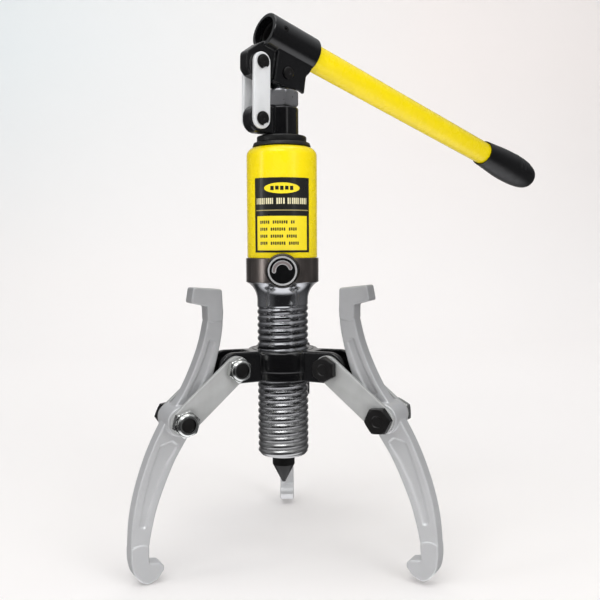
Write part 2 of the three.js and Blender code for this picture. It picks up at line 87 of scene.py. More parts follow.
LUG_W, LUG_SLOT_W, LUG_SLOT_START, LUG_END_R = 22.0, 13.0, 31.0, 11.3
LINK_T, LINK_END_R, BOLT_R, UPPER_HEX_AF, LOWER_HEX_AF = 3.2, 9.3, 5.0, 16.0, 17.0
HEAD_H, NUT_HEX_H, NUT_H = 5.8, 5.8, 8.4
JAW_T, JAW_BOSS_R, JAW_TILT = 12.0, 10.5, (0.0, -0.85, 0.85)


def azimuth_of(joint):
    x, y, _ = JOINTS[joint]["axis"]
    return math.atan2(x, -y)


def pivot_in_plane(joint, azimuth):
    x, y, z = JOINTS[joint]["pos_m"]
    return ((x * math.cos(azimuth) + y * math.sin(azimuth)) / MM, z / MM)


HEAD_AZ = azimuth_of("handle_pump")
ARM_AZ = [azimuth_of(f"link_{n}_swing") for n in (1, 2, 3)]


# ---------------------------------------------------------------- placing
def upright(azimuth):
    """x radial, y up, z sideways, in the vertical plane at an azimuth."""
    c, s = math.cos(azimuth), math.sin(azimuth)
    return Matrix(((c, 0, s, 0), (s, 0, -c, 0), (0, 1, 0, 0), (0, 0, 0, 1)))


def shift(x=0.0, y=0.0, z=0.0):
    return Matrix.Translation((x, y, z))


def turn(degrees, axis="Z"):
    return Matrix.Rotation(rad(degrees), 4, axis)


HEAD = upright(HEAD_AZ)
HANDLE = HEAD @ shift(y=PIVOT_Z) @ turn(-TILT)
TUBE = HANDLE @ shift(y=TUBE_V) @ turn(90, "Y")
VALVE = shift(z=VALVE_Z) @ turn(90, "X")


# ---------------------------------------------------------------- mesh making
def arc(cx, cy, r, start, end, steps):
    angles = [rad(start + (end - start) * i / steps) for i in range(steps + 1)]
    return [(cx + r * math.cos(a), cy + r * math.sin(a)) for a in angles]


def rounded(points, radius=0.5, steps=4, closed=True):
    """Fillets the corners of an outline. A point may carry its own radius as a third number."""
    out = []
    count = len(points)
    for i, point in enumerate(points):
        r = point[2] if len(point) > 2 else radius
        p = Vector(point[:2])
        if r == 0 or (not closed and i in (0, count - 1)):
            out.append(tuple(p))
            continue
        a = Vector(points[i - 1][:2]) - p
        b = Vector(points[(i + 1) % count][:2]) - p
        reach = 0.49 * min(a.length, b.length)
        a.normalize()
        b.normalize()
        half = a.angle(b) / 2
        if half > math.pi / 2 - 0.02:
            out.append(tuple(p))
            continue
        cut = min(r / math.tan(half), reach)
        r = cut * math.tan(half)
        centre = p + (a + b).normalized() * (r / math.sin(half))
        va, vb = p + a * cut - centre, p + b * cut - centre
        a0 = math.atan2(va.y, va.x)
        sweep = (math.atan2(vb.y, vb.x) - a0 + math.pi) % (2 * math.pi) - math.pi
        for k in range(steps + 1):
            t = a0 + sweep * k / steps
            out.append((centre.x + r * math.cos(t), centre.y + r * math.sin(t)))
    return out


def spline(points, steps=6):
    """Smooth curve through points."""
    out = []
    last = len(points) - 1
    for i in range(last):
        p = [Vector(points[max(0, min(last, i + k))]) for k in (-1, 0, 1, 2)]
        for s in range(steps):
            t = s / steps
            v = 0.5 * (2 * p[1] + (p[2] - p[0]) * t + (2 * p[0] - 5 * p[1] + 4 * p[2] - p[3]) * t * t
                       + (3 * p[1] - p[0] - 3 * p[2] + p[3]) * t ** 3)
            out.append(tuple(v))
    out.append(tuple(points[-1]))
    return out


def step_up(low, high, x):
    t = max(0.0, min(1.0, (x - low) / (high - low)))
    return t * t * (3 - 2 * t)


def lathe(profile, segments=96, radius=None, closed=False, bm=None):
    """Solid of revolution about Z. radius(r, z, angle) may shape the surface."""
    bm = bm or bmesh.new()
    rings = []
    for r, z in profile:
        if r < 1e-6:
            rings.append([bm.verts.new((0, 0, z))])
            continue
        ring = []
        for i in range(segments):
            a = 2 * math.pi * i / segments
            q = radius(r, z, a) if radius else r
            ring.append(bm.verts.new((q * math.cos(a), q * math.sin(a), z)))
        rings.append(ring)
    pairs = list(zip(rings, rings[1:])) + ([(rings[-1], rings[0])] if closed else [])
    for low, high in pairs:
        for i in range(segments):
            j = (i + 1) % segments
            if len(low) == 1 and len(high) == 1:
                break
            if len(low) == 1:
                bm.faces.new((low[0], high[j], high[i]))
            elif len(high) == 1:
                bm.faces.new((low[i], low[j], high[0]))
            else:
                bm.faces.new((low[i], low[j], high[j], high[i]))
    return bm


def round_bar(r, z0, z1, edge=0.4, segments=48):
    return lathe(rounded([(0, z0, 0), (r, z0), (r, z1), (0, z1, 0)], edge, 3, closed=False), segments)


def ring(r0, r1, z0, z1, edge=0.3, segments=64):
    return lathe(rounded([(r0, z0), (r1, z0), (r1, z1), (r0, z1)], edge, 3), segments, closed=True)


def clockwise(loop):
    area = sum(a[0] * b[1] - b[0] * a[1] for a, b in zip(loop, loop[1:] + loop[:1]))
    return area < 0


def circle(x, y, r, steps=40):
    return arc(x, y, r, 0, 360 - 360 / steps, steps - 1)


def plate(outline, thickness, edge=0.4, holes=(), steps=3):
    """Flat plate with rounded edges, centred on z = 0. Holes are loops inside the outline."""
    curve = bpy.data.curves.new("outline", "CURVE")
    curve.dimensions = "2D"
    curve.fill_mode = "BOTH"
    curve.extrude = thickness / 2 - edge
    curve.bevel_depth = edge
    curve.bevel_resolution = steps
    curve.offset = -edge
    for hole, loop in [(False, outline)] + [(True, h) for h in holes]:
        if clockwise(loop) != hole:
            loop = list(reversed(loop))
        line = curve.splines.new("POLY")
        line.points.add(len(loop) - 1)
        for point, (x, y) in zip(line.points, loop):
            point.co = (x, y, 0, 1)
        line.use_cyclic_u = True
    obj = bpy.data.objects.new("outline", curve)
    return from_object(obj, curve)


def from_object(obj, data):
    collection.objects.link(obj)
    graph = bpy.context.evaluated_depsgraph_get()
    mesh = bpy.data.meshes.new_from_object(obj.evaluated_get(graph))
    bm = bmesh.new()
    bm.from_mesh(mesh)
    bpy.data.objects.remove(obj)
    bpy.data.meshes.remove(mesh)
    if isinstance(data, bpy.types.Curve):
        bpy.data.curves.remove(data)
    else:
        bpy.data.meshes.remove(data)
    bmesh.ops.remove_doubles(bm, verts=bm.verts, dist=1e-4)
    return bm


def to_object(bm, name="work"):
    bmesh.ops.remove_doubles(bm, verts=bm.verts, dist=1e-4)
    bmesh.ops.recalc_face_normals(bm, faces=bm.faces)
    mesh = bpy.data.meshes.new(name)
    bm.to_mesh(mesh)
    bm.free()
    return bpy.data.objects.new(name, mesh)


def moved(bm, matrix):
    bm.transform(matrix)
    return bm


def joined(*parts):
    whole = bmesh.new()
    for bm in parts:
        mesh = bpy.data.meshes.new("part")
        bm.to_mesh(mesh)
        bm.free()
        whole.from_mesh(mesh)
        bpy.data.meshes.remove(mesh)
    return whole


def boolean(bm, cutter, operation):
    tool = to_object(cutter)
    collection.objects.link(tool)
    body = to_object(bm)
    modifier = body.modifiers.new("boolean", "BOOLEAN")
    modifier.operation = operation
    modifier.solver = "EXACT"
    modifier.object = tool
    result = from_object(body, body.data)
    data = tool.data
    bpy.data.objects.remove(tool)
    bpy.data.meshes.remove(data)
    return result


def cut(bm, *cutters):
    """bm without the space of each cutter."""
    for cutter in cutters:
        bm = boolean(bm, cutter, "DIFFERENCE")
    return bm


def kept(bm, space):
    """The part of bm inside a space."""
    return boolean(bm, space, "INTERSECT")


def cast(bm, voxel=0.5, smooth=6):
    """Melts overlapping solids into one skin with soft edges, as a casting or forging has."""
    body = to_object(bm)
    remesh = body.modifiers.new("skin", "REMESH")
    remesh.mode = "VOXEL"
    remesh.voxel_size = voxel
    soften = body.modifiers.new("soft", "SMOOTH")
    soften.factor = 0.5
    soften.iterations = smooth
    return from_object(body, body.data)


def piece(name, bm, material, body, replaced=(), matrix=None, sharp=32):
    """Makes the mesh an object in metres, with creases where faces meet sharply."""
    bm.transform(Matrix.Scale(MM, 4) @ (matrix or Matrix.Identity(4)))
    bmesh.ops.remove_doubles(bm, verts=bm.verts, dist=1e-7)
    bmesh.ops.recalc_face_normals(bm, faces=bm.faces)
    for face in bm.faces:
        face.smooth = True
    for edge in bm.edges:
        edge.smooth = not (len(edge.link_faces) == 2 and edge.calc_face_angle(0) > rad(sharp))
    mesh = bpy.data.meshes.new(name)
    bm.to_mesh(mesh)
    bm.free()
    materials = material if isinstance(material, (list, tuple)) else [material]
    for m in materials:
        mesh.materials.append(m)
    obj = bpy.data.objects.new(name, mesh)
    collection.objects.link(obj)
    if body:
        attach(obj, body)
    if replaced:
        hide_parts(*replaced)
    return obj


# ---------------------------------------------------------------- materials
def new_node(tree, kind, inputs=None, **settings):
    node = tree.nodes.new("ShaderNode" + kind)
    for key, value in settings.items():
        setattr(node, key, value)
    for key, value in (inputs or {}).items():
        if isinstance(value, bpy.types.NodeSocket):
            tree.links.new(value, node.inputs[key])
        else:
            node.inputs[key].default_value = value
    return node


def mix_color(tree, factor, a, b):
    node = new_node(tree, "Mix", data_type="RGBA")
    for index, value in ((0, factor), (6, a), (7, b)):
        if isinstance(value, bpy.types.NodeSocket):
            tree.links.new(value, node.inputs[index])
        else:
            node.inputs[index].default_value = value
    return node.outputs[2]


def spread(tree, value, low, high, to_low, to_high):
    return new_node(tree, "MapRange", {"Value": value, "From Min": low, "From Max": high,
                                       "To Min": to_low, "To Max": to_high}).outputs[0]


def noise(tree, place, scale, detail=4.0, roughness=0.5, stretch=None):
    if stretch:
        place = new_node(tree, "Mapping", {"Vector": place, "Scale": stretch}).outputs[0]
    return new_node(tree, "TexNoise", {"Vector": place, "Scale": scale, "Detail": detail,
                                       "Roughness": roughness}).outputs[0]


def finish(name, color, metallic=0.0, roughness=0.4, rough_vary=0.08, vary=0.1, vary_scale=30.0,
           grain=1500.0, grain_depth=0.00002, bump=0.25, coat=0.0, streaks=None, dust=0.0,
           dust_color=(0.35, 0.33, 0.3), wear=0.0, wear_color=(0.55, 0.55, 0.56), specular=0.5,
           painted_low_light=None):
    """A surface with drifting tone, uneven gloss, fine grain, dust in patches and worn spots.
    The last argument, (height where it starts, height where it is full, color), is painted light: the part is
    painted paler and duller towards the bottom, standing for light from the table below."""
    material = bpy.data.materials.new(name)
    material.use_nodes = True
    tree = material.node_tree
    shader = tree.nodes["Principled BSDF"]
    place = new_node(tree, "TexCoord").outputs["Object"]
    dark = (*[c * (1 - vary) for c in color], 1)
    light = (*[min(1.0, c * (1 + vary)) for c in color], 1)
    drift = spread(tree, noise(tree, place, vary_scale, 5), 0.3, 0.7, 0, 1)
    shade = mix_color(tree, drift, dark, light)
    gloss = noise(tree, place, vary_scale * 6, 6, 0.6)
    height = noise(tree, place, grain, 3)
    if streaks:
        line = noise(tree, place, streaks[0], 4, 0.6, streaks[1])
        shade = mix_color(tree, spread(tree, line, 0.35, 0.65, 0, streaks[2]), shade, dark)
        gloss = new_node(tree, "Math", {0: gloss, 1: line}, operation="MULTIPLY_ADD").outputs[0]
        height = new_node(tree, "Math", {0: height, 1: line}, operation="ADD").outputs[0]
    if dust:
        patch = spread(tree, noise(tree, place, 55.0, 8, 0.65), 0.52, 0.78, 0, dust)
        shade = mix_color(tree, patch, shade, (*dust_color, 1))
    if wear:
        spots = spread(tree, noise(tree, place, 210.0, 9, 0.75), 0.64, 0.7, 0, wear)
        shade = mix_color(tree, spots, shade, (*wear_color, 1))
    rough = spread(tree, gloss, 0.25, 0.75, max(0.02, roughness - rough_vary), roughness + rough_vary)
    # painted light: paler and duller towards the bottom, standing for light from the table below
    if painted_low_light:
        along = new_node(tree, "SeparateXYZ", {"Vector": place}).outputs["Z"]
        amount = spread(tree, along, painted_low_light[1] * MM, painted_low_light[0] * MM, 1, 0)
        shade = mix_color(tree, amount, shade, (*painted_low_light[2], 1))
        rough = new_node(tree, "Math", {0: amount, 1: 0.1, 2: rough}, operation="MULTIPLY_ADD").outputs[0]
    tree.links.new(shade, shader.inputs["Base Color"])
    tree.links.new(rough, shader.inputs["Roughness"])
    relief = new_node(tree, "Bump", {"Strength": bump, "Distance": grain_depth, "Height": height})
    tree.links.new(relief.outputs[0], shader.inputs["Normal"])
    shader.inputs["Metallic"].default_value = metallic
    shader.inputs["Specular IOR Level"].default_value = specular
    shader.inputs["Coat Weight"].default_value = coat
    shader.inputs["Coat Roughness"].default_value = 0.06
    material.diffuse_color = (*color, 1)
    return material


YELLOW = finish("yellow_enamel", (0.88, 0.69, 0.002), roughness=0.27, vary=0.03, vary_scale=18, grain=900,
                grain_depth=0.000006, bump=0.1, coat=0.25, specular=0.35, dust=0.03,
                dust_color=(0.7, 0.5, 0.01))
BLACK = finish("black_enamel", (0.0035, 0.0035, 0.004), roughness=0.2, rough_vary=0.06, vary=0.3, grain=700,
               grain_depth=0.00003, coat=0.3, dust=0.04, dust_color=(0.03, 0.028, 0.026))
SATIN_BLACK = finish("satin_black", (0.007, 0.007, 0.007), roughness=0.42, vary=0.3, grain=1200, dust=0.06,
                     dust_color=(0.04, 0.038, 0.035))
CHROME = finish("chrome_plate", (0.56, 0.565, 0.585), metallic=1.0, roughness=0.17, rough_vary=0.03,
                vary=0.08, vary_scale=60, grain=2500, grain_depth=0.000002, bump=0.05)
# the thread's lower part is painted paler and duller: a painted reflection of the bright table below
ROLLED = finish("rolled_thread", (0.36, 0.36, 0.375), metallic=1.0, roughness=0.22, rough_vary=0.04,
                vary=0.12, vary_scale=60, grain=2500, grain_depth=0.000002, bump=0.05,
                painted_low_light=(95, 15, (0.5, 0.5, 0.495)))
# the collar's dark vertical streaks are painted reflections of the surroundings; its chrome is darker and browner
# than the sleeve's
COLLAR = finish("collar_chrome", (0.3, 0.262, 0.245), metallic=1.0, roughness=0.24, rough_vary=0.08,
                vary=0.35, vary_scale=60, streaks=(170.0, (1, 1, 0.05), 0.9), bump=0.15,
                grain_depth=0.00001)
SILVER = finish("brushed_silver", (0.4, 0.4, 0.405), metallic=0.25, roughness=0.38, vary=0.12, vary_scale=90,
                grain=2500, grain_depth=0.00001)
# painted shade: the valve boss is chrome painted near black, standing for the shade round the knob
SHADED_BOSS_CHROME = finish("boss_chrome_painted_shade", (0.09, 0.078, 0.07), metallic=1.0, roughness=0.3, vary=0.2, grain=1500)
BRIGHT_ZINC = finish("bright_zinc_plate", (0.8, 0.81, 0.82), metallic=0.2, roughness=0.34, rough_vary=0.08,
                     vary=0.06, vary_scale=45, grain=1400, grain_depth=0.00003)
ZINC = finish("zinc_plate", (0.47, 0.475, 0.47), metallic=0.35, roughness=0.36, rough_vary=0.08, vary=0.1,
              vary_scale=45, grain=1400, grain_depth=0.00003, streaks=(260.0, (1, 1, 0.12), 0.25),
              dust=0.06)
NUT_ZINC = finish("nut_zinc", (0.36, 0.36, 0.375), metallic=0.85, roughness=0.3, rough_vary=0.05, vary=0.12,
                  vary_scale=70, grain=1600, grain_depth=0.000003, bump=0.1)
LOCK_ZINC = finish("lock_nut_zinc", (0.68, 0.69, 0.67), metallic=1.0, roughness=0.22, rough_vary=0.06,
                   vary=0.12, vary_scale=70, grain=1600, grain_depth=0.000004, bump=0.15)
# the jaws are painted paler towards their feet: painted light from below
FORGED = finish("forged_steel", (0.33, 0.332, 0.34), metallic=0.5, roughness=0.36, rough_vary=0.12,
                painted_low_light=(210, 0, (0.72, 0.725, 0.735)), vary=0.13, vary_scale=55, grain=1000,
                grain_depth=0.00012, bump=0.5, dust=0.12, dust_color=(0.3, 0.3, 0.3), wear=0.3,
                wear_color=(0.6, 0.6, 0.6))
OXIDE = finish("black_oxide", (0.009, 0.0085, 0.0085), metallic=0.3, roughness=0.33, vary=0.3, grain=1300,
               grain_depth=0.00004, wear=0.2, wear_color=(0.08, 0.08, 0.08))
STEEL = finish("ground_steel", (0.42, 0.42, 0.43), metallic=1.0, roughness=0.28, vary=0.1,
               streaks=(300.0, (1, 1, 12), 0.3))
RUBBER = finish("grip_rubber", (0.0035, 0.0035, 0.004), roughness=0.38, rough_vary=0.1, vary=0.25,
                grain=2200, grain_depth=0.00005, dust=0.05, dust_color=(0.02, 0.02, 0.02))
LABEL = finish("label_black", (0.012, 0.012, 0.011), roughness=0.33, vary=0.15, grain=3000,
               grain_depth=0.000005, coat=0.2)
PRINT_YELLOW = finish("print_yellow", (0.82, 0.66, 0.01), roughness=0.36, vary=0.04, grain=3000,
                      grain_depth=0.000005)
PRINT_CREAM = finish("print_cream", (0.72, 0.66, 0.42), roughness=0.36, vary=0.05, grain=3000,
                     grain_depth=0.000005)
PRINT_GOLD = finish("print_gold", (0.35, 0.29, 0.12), roughness=0.36, vary=0.1, grain=3000,
                    grain_depth=0.000005)
SLOTS = {"yellow_paint": YELLOW, "black_paint": BLACK, "chrome": CHROME, "zinc": ZINC, "forged": FORGED,
         "black_oxide": OXIDE, "steel": STEEL, "rubber": RUBBER, "label": LABEL}

# the frame's own nodes that stay hidden inside take the same finishes
slot_of = {s["node"]: s["material_slot"] for s in frame["record"]["subparts"]}
for node_name, node_object in frame["nodes"].items():
    node_object.data.materials.clear()
    node_object.data.materials.append(SLOTS[slot_of[node_name]])


# ---------------------------------------------------------------- cylinder, collar and valve boss
def thread(r, z, angle):
    """Right-hand thread, one pitch per turn, that fades out below the neck."""
    if r < SLEEVE_R - 0.01 or z > THREAD_TOP + 3 or r > SLEEVE_R + 0.01:
        return r
    across = abs((z / THREAD_PITCH - angle / (2 * math.pi)) % 1 - 0.5) * 2
    groove = (0.5 - 0.5 * math.cos(math.pi * across)) ** 1.6
    depth = THREAD_DEPTH * groove * (1 - step_up(THREAD_TOP - 2, THREAD_TOP + 3, z))
    chamfer = SLEEVE_R - 2 + 0.8 * (z - SLEEVE_BOTTOM)
    return min(SLEEVE_R - depth, chamfer)


thread_start, thread_steps = SLEEVE_BOTTOM + 0.15, 470
thread_rows = [(SLEEVE_R, thread_start + (NECK_TOP - thread_start) * i / thread_steps)
               for i in range(thread_steps)]
flare = arc(SLEEVE_R + 0.02 + FLARE_R, NECK_TOP, FLARE_R, 180, 180 - FLARE_SWEEP, 16)
collar_bottom = flare[-1][1]
sleeve_profile = ([(0, 166), (BORE_R, 166), (BORE_R, SLEEVE_BOTTOM), (SLEEVE_R - 2, SLEEVE_BOTTOM)]
                  + thread_rows + flare)
collar_profile = rounded([(COLLAR_R, collar_bottom + 0.3), (COLLAR_R, COLLAR_TOP), (17.5, COLLAR_TOP),
                          (17.5, 180), (0, 180)], 0.35, 3, closed=False)
sleeve = lathe(sleeve_profile + collar_profile, 160, thread)
for face in sleeve.faces:
    centre = face.calc_center_median()
    if centre.z > collar_bottom and math.hypot(centre.x, centre.y) > 18:
        face.material_index = 1
    elif centre.z < THREAD_TOP and math.hypot(centre.x, centre.y) > SLEEVE_R - 3:
        face.material_index = 2
piece("threaded_cylinder", sleeve, [CHROME, COLLAR, ROLLED], "barrel", ["cylinder_sleeve"],
      sharp=70)
boss_profile = rounded([(0, 21, 0), (BOSS_R + 1.5, 21, 0), (BOSS_R + 0.2, 25, 2.5), (BOSS_R, BOSS_FACE, 1.2),
                        (3.5, BOSS_FACE, 0.3), (3.5, 15, 0), (0, 15, 0)], 0.3, 5, closed=False)
piece("valve_boss", lathe(boss_profile[1:-1], 72, closed=True), SHADED_BOSS_CHROME, "barrel", matrix=VALVE)

shoulder = arc(SHELL_R - SHELL_SHOULDER, SHELL_TOP - SHELL_SHOULDER, SHELL_SHOULDER, 0, 90, 12)
shell_inner = arc(SHELL_R - SHELL_SHOULDER, SHELL_TOP - SHELL_SHOULDER, SHELL_SHOULDER - SHELL_WALL,
                  90, 0, 8)
shell_profile = ([(SHELL_R - 0.25, COLLAR_TOP + GAP), (SHELL_R, COLLAR_TOP + GAP + 0.4)] + shoulder
                 + [(15.6, SHELL_TOP), (15.3, SHELL_TOP - 0.3), (15.3, SHELL_TOP - SHELL_WALL)]
                 + shell_inner + [(SHELL_R - SHELL_WALL, COLLAR_TOP + GAP)])
piece("oil_reservoir", lathe(shell_profile, 128, closed=True), YELLOW, "barrel",
      ["reservoir_shell"])
piece("reservoir_flange", lathe(rounded([(9.3, 251.3), (21.7, 251.3, 0.4), (20.6, 254.3, 0.6), (9.3, 254.3)],
                                        0.3, 3), 96, closed=True), SATIN_BLACK, "barrel",
      ["top_flange"])


# ---------------------------------------------------------------- label
LABEL_R, LABEL_BOTTOM, LABEL_TOP, LABEL_HALF = 26.12, 174.2, 227.3, 47.0


def wrapped(name, angle0, angle1, low, high, r0, r1, material, replaced=(), columns=48):
    """Thin solid wrapped on the shell. low and high give its bottom and top at each angle."""
    bm = bmesh.new()
    rows4 = []
    for i in range(columns + 1):
        t = i / columns
        a = rad(angle0 + (angle1 - angle0) * t - 90)
        c, s = math.cos(a), math.sin(a)
        z0, z1 = low(2 * t - 1), high(2 * t - 1)
        rows4.append([bm.verts.new((r * c, r * s, z)) for r, z in
                      ((r0, z0), (r1, z0), (r1, z1), (r0, z1))])
    for a, b in zip(rows4, rows4[1:]):
        for k in range(4):
            bm.faces.new((a[k], b[k], b[(k + 1) % 4], a[(k + 1) % 4]))
    bm.faces.new(rows4[0])
    bm.faces.new(list(reversed(rows4[-1])))
    return bm if name is None else piece(name, bm, material, "barrel", replaced)


def flat(value):
    return lambda t: value


def printed(angle0, angle1, z0, z1, layer=1):
    r = LABEL_R + 0.33 + 0.03 * layer
    columns = max(2, round((angle1 - angle0) / 2))
    return wrapped(None, angle0, angle1, flat(z0), flat(z1), r - 0.1, r, None, columns=columns)


wrapped("label_plate", -LABEL_HALF, LABEL_HALF, flat(LABEL_BOTTOM), flat(LABEL_TOP), LABEL_R, LABEL_R + 0.3,
        LABEL, ["label"])
badge_z, badge_h = 219.85, 3.83
badge = wrapped(None, -28.7, 28.7, lambda t: badge_z - badge_h * math.sqrt(max(0.0004, 1 - t * t)),
                lambda t: badge_z + badge_h * math.sqrt(max(0.0004, 1 - t * t)),
                LABEL_R + 0.2, LABEL_R + 0.36, None)
piece("label_badge", badge, PRINT_YELLOW, "barrel")
piece("label_panel", printed(-42, 42, 175.8, 200.2), PRINT_YELLOW, "barrel")
title = []
for i in range(25):
    if i not in (9, 14):
        left = -43 + 3.44 * i
        title.append(printed(left, left + (2.4 if i % 4 else 1.5), 208.6, 212.9))
piece("label_title", joined(*title), PRINT_CREAM, "barrel")
piece("label_rule", printed(-44, 44, 203.9, 204.6), PRINT_GOLD, "barrel")


def word(start, letters, z, half, size, gap, layer=2):
    """A run of small upright blocks, standing for a printed word."""
    return [printed(start + i * (size + gap), start + i * (size + gap) + size, z - half * (1, 0.8)[i % 2],
                    z + half, layer) for i in range(letters)]


marks = word(-18, 5, badge_z, 1.5, 5.4, 2.2)
for row, lengths in enumerate(((5, 7, 2), (4, 7, 4), (4, 6, 5), (4, 7, 5))):
    start = -36.0
    for letters in lengths:
        marks += word(start, letters, 195.8 - 5.0 * row, 1.15, 2.3, 1.1)
        start += letters * 3.4 + 4.5
piece("label_marks", joined(*marks), LABEL, "barrel")


# ---------------------------------------------------------------- release valve
def knurl(r, z, angle):
    if r < KNOB_R - 0.05:
        return r
    return r - 0.22 * (0.5 - 0.5 * math.cos(40 * angle))


knob_profile = rounded([(0, KNOB_BACK, 0), (KNOB_R - 0.5, KNOB_BACK, 0.4), (KNOB_R, KNOB_BACK + 0.8, 0.3),
                        (KNOB_R, KNOB_FACE - 1.0, 0.4), (KNOB_R - 0.6, KNOB_FACE - 0.1, 0.3),
                        (KNOB_RING_R + 0.1, KNOB_FACE - 0.1, 0.1), (KNOB_RING_R + 0.1, KNOB_FACE - 0.9, 0.1),
                        (KNOB_RING_R - KNOB_RING_W - 0.1, KNOB_FACE - 0.9, 0.1),
                        (KNOB_RING_R - KNOB_RING_W - 0.1, KNOB_FACE - 0.3, 0.1),
                        (0, KNOB_FACE - 0.3, 0)], 0.2, 3, closed=False)
piece("valve_knob", lathe(knob_profile, 160, knurl), BLACK, "release_valve",
      ["release_knob"], VALVE)
bright_ring = ring(KNOB_RING_R - KNOB_RING_W, KNOB_RING_R, KNOB_FACE - 0.8, KNOB_FACE + 0.2, 0.3, 96)
piece("knob_bright_ring", bright_ring, SILVER, "release_valve", ["knob_ring"], VALVE)
SCALE_R, SCALE_HALF, SCALE_RIM, SCALE_START, SCALE_END = 5.9, 1.45, 0.55, 20, 182


def scale_band(half):
    """A curved band round the knob's centre, with round ends."""
    def end_cap(at, start):
        return arc(SCALE_R * math.cos(rad(at)), SCALE_R * math.sin(rad(at)), half, start, start + 180, 8)
    return (arc(0, 0, SCALE_R + half, SCALE_START, SCALE_END, 24) + end_cap(SCALE_END, SCALE_END)[1:]
            + arc(0, 0, SCALE_R - half, SCALE_END, SCALE_START, 24)
            + end_cap(SCALE_START, SCALE_START + 180)[1:-1])


band, inner = scale_band(SCALE_HALF), scale_band(SCALE_HALF - SCALE_RIM)
piece("knob_scale", plate(band, 0.5, 0.12, [inner]), SILVER, "release_valve",
      matrix=VALVE @ shift(z=KNOB_FACE - 0.3))
piece("knob_scale_fill", plate(inner, 0.24, 0.05),
      finish("scale_grey", (0.17, 0.14, 0.14), metallic=0.1, roughness=0.45), "release_valve",
      matrix=VALVE @ shift(z=KNOB_FACE - 0.3))

# ---------------------------------------------------------------- ram
point_profile = rounded([(0, 0, 0), (1.2, 0, 0.2), (RAM_R, TIP_CONE_H, 0.6), (RAM_R, TIP_TOP, 0.4),
                         (0, TIP_TOP, 0)], 0.3, 3, closed=False)
piece("centre_point", lathe(point_profile, 72), OXIDE, "ram", ["ram_tip"])
piece("ram_guide_ring", ring(RAM_R + 0.3, BORE_R - 0.2, SLEEVE_BOTTOM + GAP, GUIDE_TOP, 0.5), STEEL,
      "barrel", ["ram_guide"])
piece("ram_bar", round_bar(RAM_R, TIP_TOP + GAP, 149.7), STEEL, "ram", ["ram_rod"])

SPRING_R, WIRE_R, SPRING_TURNS, SPRING_LOW, SPRING_HIGH = 11.2, 1.1, 8, 40.4, 148.6
spring = bmesh.new()
loops = []
steps = SPRING_TURNS * 28
for i in range(steps + 1):
    t = i / steps
    a = 2 * math.pi * SPRING_TURNS * t
    out = Vector((math.cos(a), math.sin(a), 0))
    centre = SPRING_R * out + Vector((0, 0, SPRING_LOW + (SPRING_HIGH - SPRING_LOW) * t))
    loops.append([spring.verts.new(centre + WIRE_R * (math.cos(b) * out + math.sin(b) * Vector((0, 0, 1))))
                  for b in [2 * math.pi * k / 10 for k in range(10)]])
for a, b in zip(loops, loops[1:]):
    for k in range(10):
        spring.faces.new((a[k], a[(k + 1) % 10], b[(k + 1) % 10], b[k]))
spring.faces.new(list(reversed(loops[0])))
spring.faces.new(loops[-1])
coil = piece("return_coil", spring, STEEL, None, ["return_spring"])
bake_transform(coil)

# ---------------------------------------------------------------- pump head
swivel_profile = rounded([(0, 184, 0), (9, 184, 0.5), (9, 254.6, 0), (18.3, 254.6, 0.4), (18.3, 259.2, 1.2),
                          (0, 259.2, 0)], 0.3, 4, closed=False)
piece("swivel_base", lathe(swivel_profile, 96), SATIN_BLACK, "pump_head", ["swivel_ring"])
PIN_R, PUMP_LINK_W, PUMP_LINK_T = 3.8, 14.0, 3.0
LOWER_PIN = pivot_in_plane("link_swing", HEAD_AZ)
UPPER_PIN = pivot_in_plane("handle_pump", HEAD_AZ)
lug = rounded([(-8, LUG_BOTTOM, 0), (-8, LUG_TOP, 0), (-LUG_REACH, LUG_TOP, LUG_CORNER_R),
               (-LUG_REACH, LUG_BOTTOM, LUG_CORNER_R)], 0, 12)
column = lathe(rounded([(0, 259.5, 0), (COLUMN_R, 259.5, 0.3), (COLUMN_R, COLUMN_TOP, 1.2),
                        (0, COLUMN_TOP, 0)], 0.3, 4, closed=False), 96)
lug_hole = moved(lathe([(0, -9), (PIN_R + GAP, -9), (PIN_R + GAP, 9), (0, 9)], 48), shift(*LOWER_PIN))
lug_plate = moved(cut(plate(lug, 2 * LUG_HALF_W, 0.9), lug_hole), HEAD)
body = cast(joined(column, lug_plate), 0.4, 5)
piece("pump_block", body, BLACK, "pump_head", ["pump_body", "plunger_seal"], sharp=60)


def hexagon(af, z0, z1, both_ends=False):
    """Hexagon bar along Z, with the corners turned away at the z1 end, or at both ends."""
    steps = [z0 + (z1 - z0) * i / 14 for i in range(15)]

    def corner(r, z, angle):
        face = af / 2 / math.cos((angle + math.pi / 6) % (math.pi / 3) - math.pi / 6)
        end_r, slope = af / 2 * 0.976, 1.7
        cone = end_r + (z1 - z) * slope
        foot = end_r + (z - z0) * slope if both_ends else face
        return min(face, cone, foot) * (r / af)
    top = af * 0.94
    profile = [(0, z0), (top, z0)] + [(af, z) for z in steps] + [(top, z1), (0, z1)]
    return lathe(profile, 120, corner)


gland = cut(hexagon(GLAND_AF, COLUMN_TOP + GAP, GLAND_TOP, both_ends=True),
            lathe([(0, 279), (5.3, 279), (5.3, 294), (0, 294)], 48))
piece("gland_hex", gland, NUT_ZINC, "pump_head", ["gland_nut"], turn(GLAND_TURN))
eye_slot = rounded([(-5, -3.6), (5, -3.6), (5, 3.6), (-5, 3.6)], 3.59, 8)
eye = moved(plate(circle(0, 0, 7.5), 10.6, 0.5, [eye_slot]), HEAD @ shift(y=PIVOT_Z))
tang = moved(plate([(-4.2, 293.5), (4.2, 293.5), (4.2, 298.5), (-4.2, 298.5)], 7.5, 0.5), HEAD)
piece("pump_plunger_rod", cast(joined(round_bar(5, 266.2, 295), tang, eye), 0.4, 3), STEEL, "pump_plunger",
      ["plunger"], sharp=60)

link_inner = LUG_HALF_W + GAP
link_outer = link_inner + PUMP_LINK_T
pin_end = link_outer + GAP + 1.8


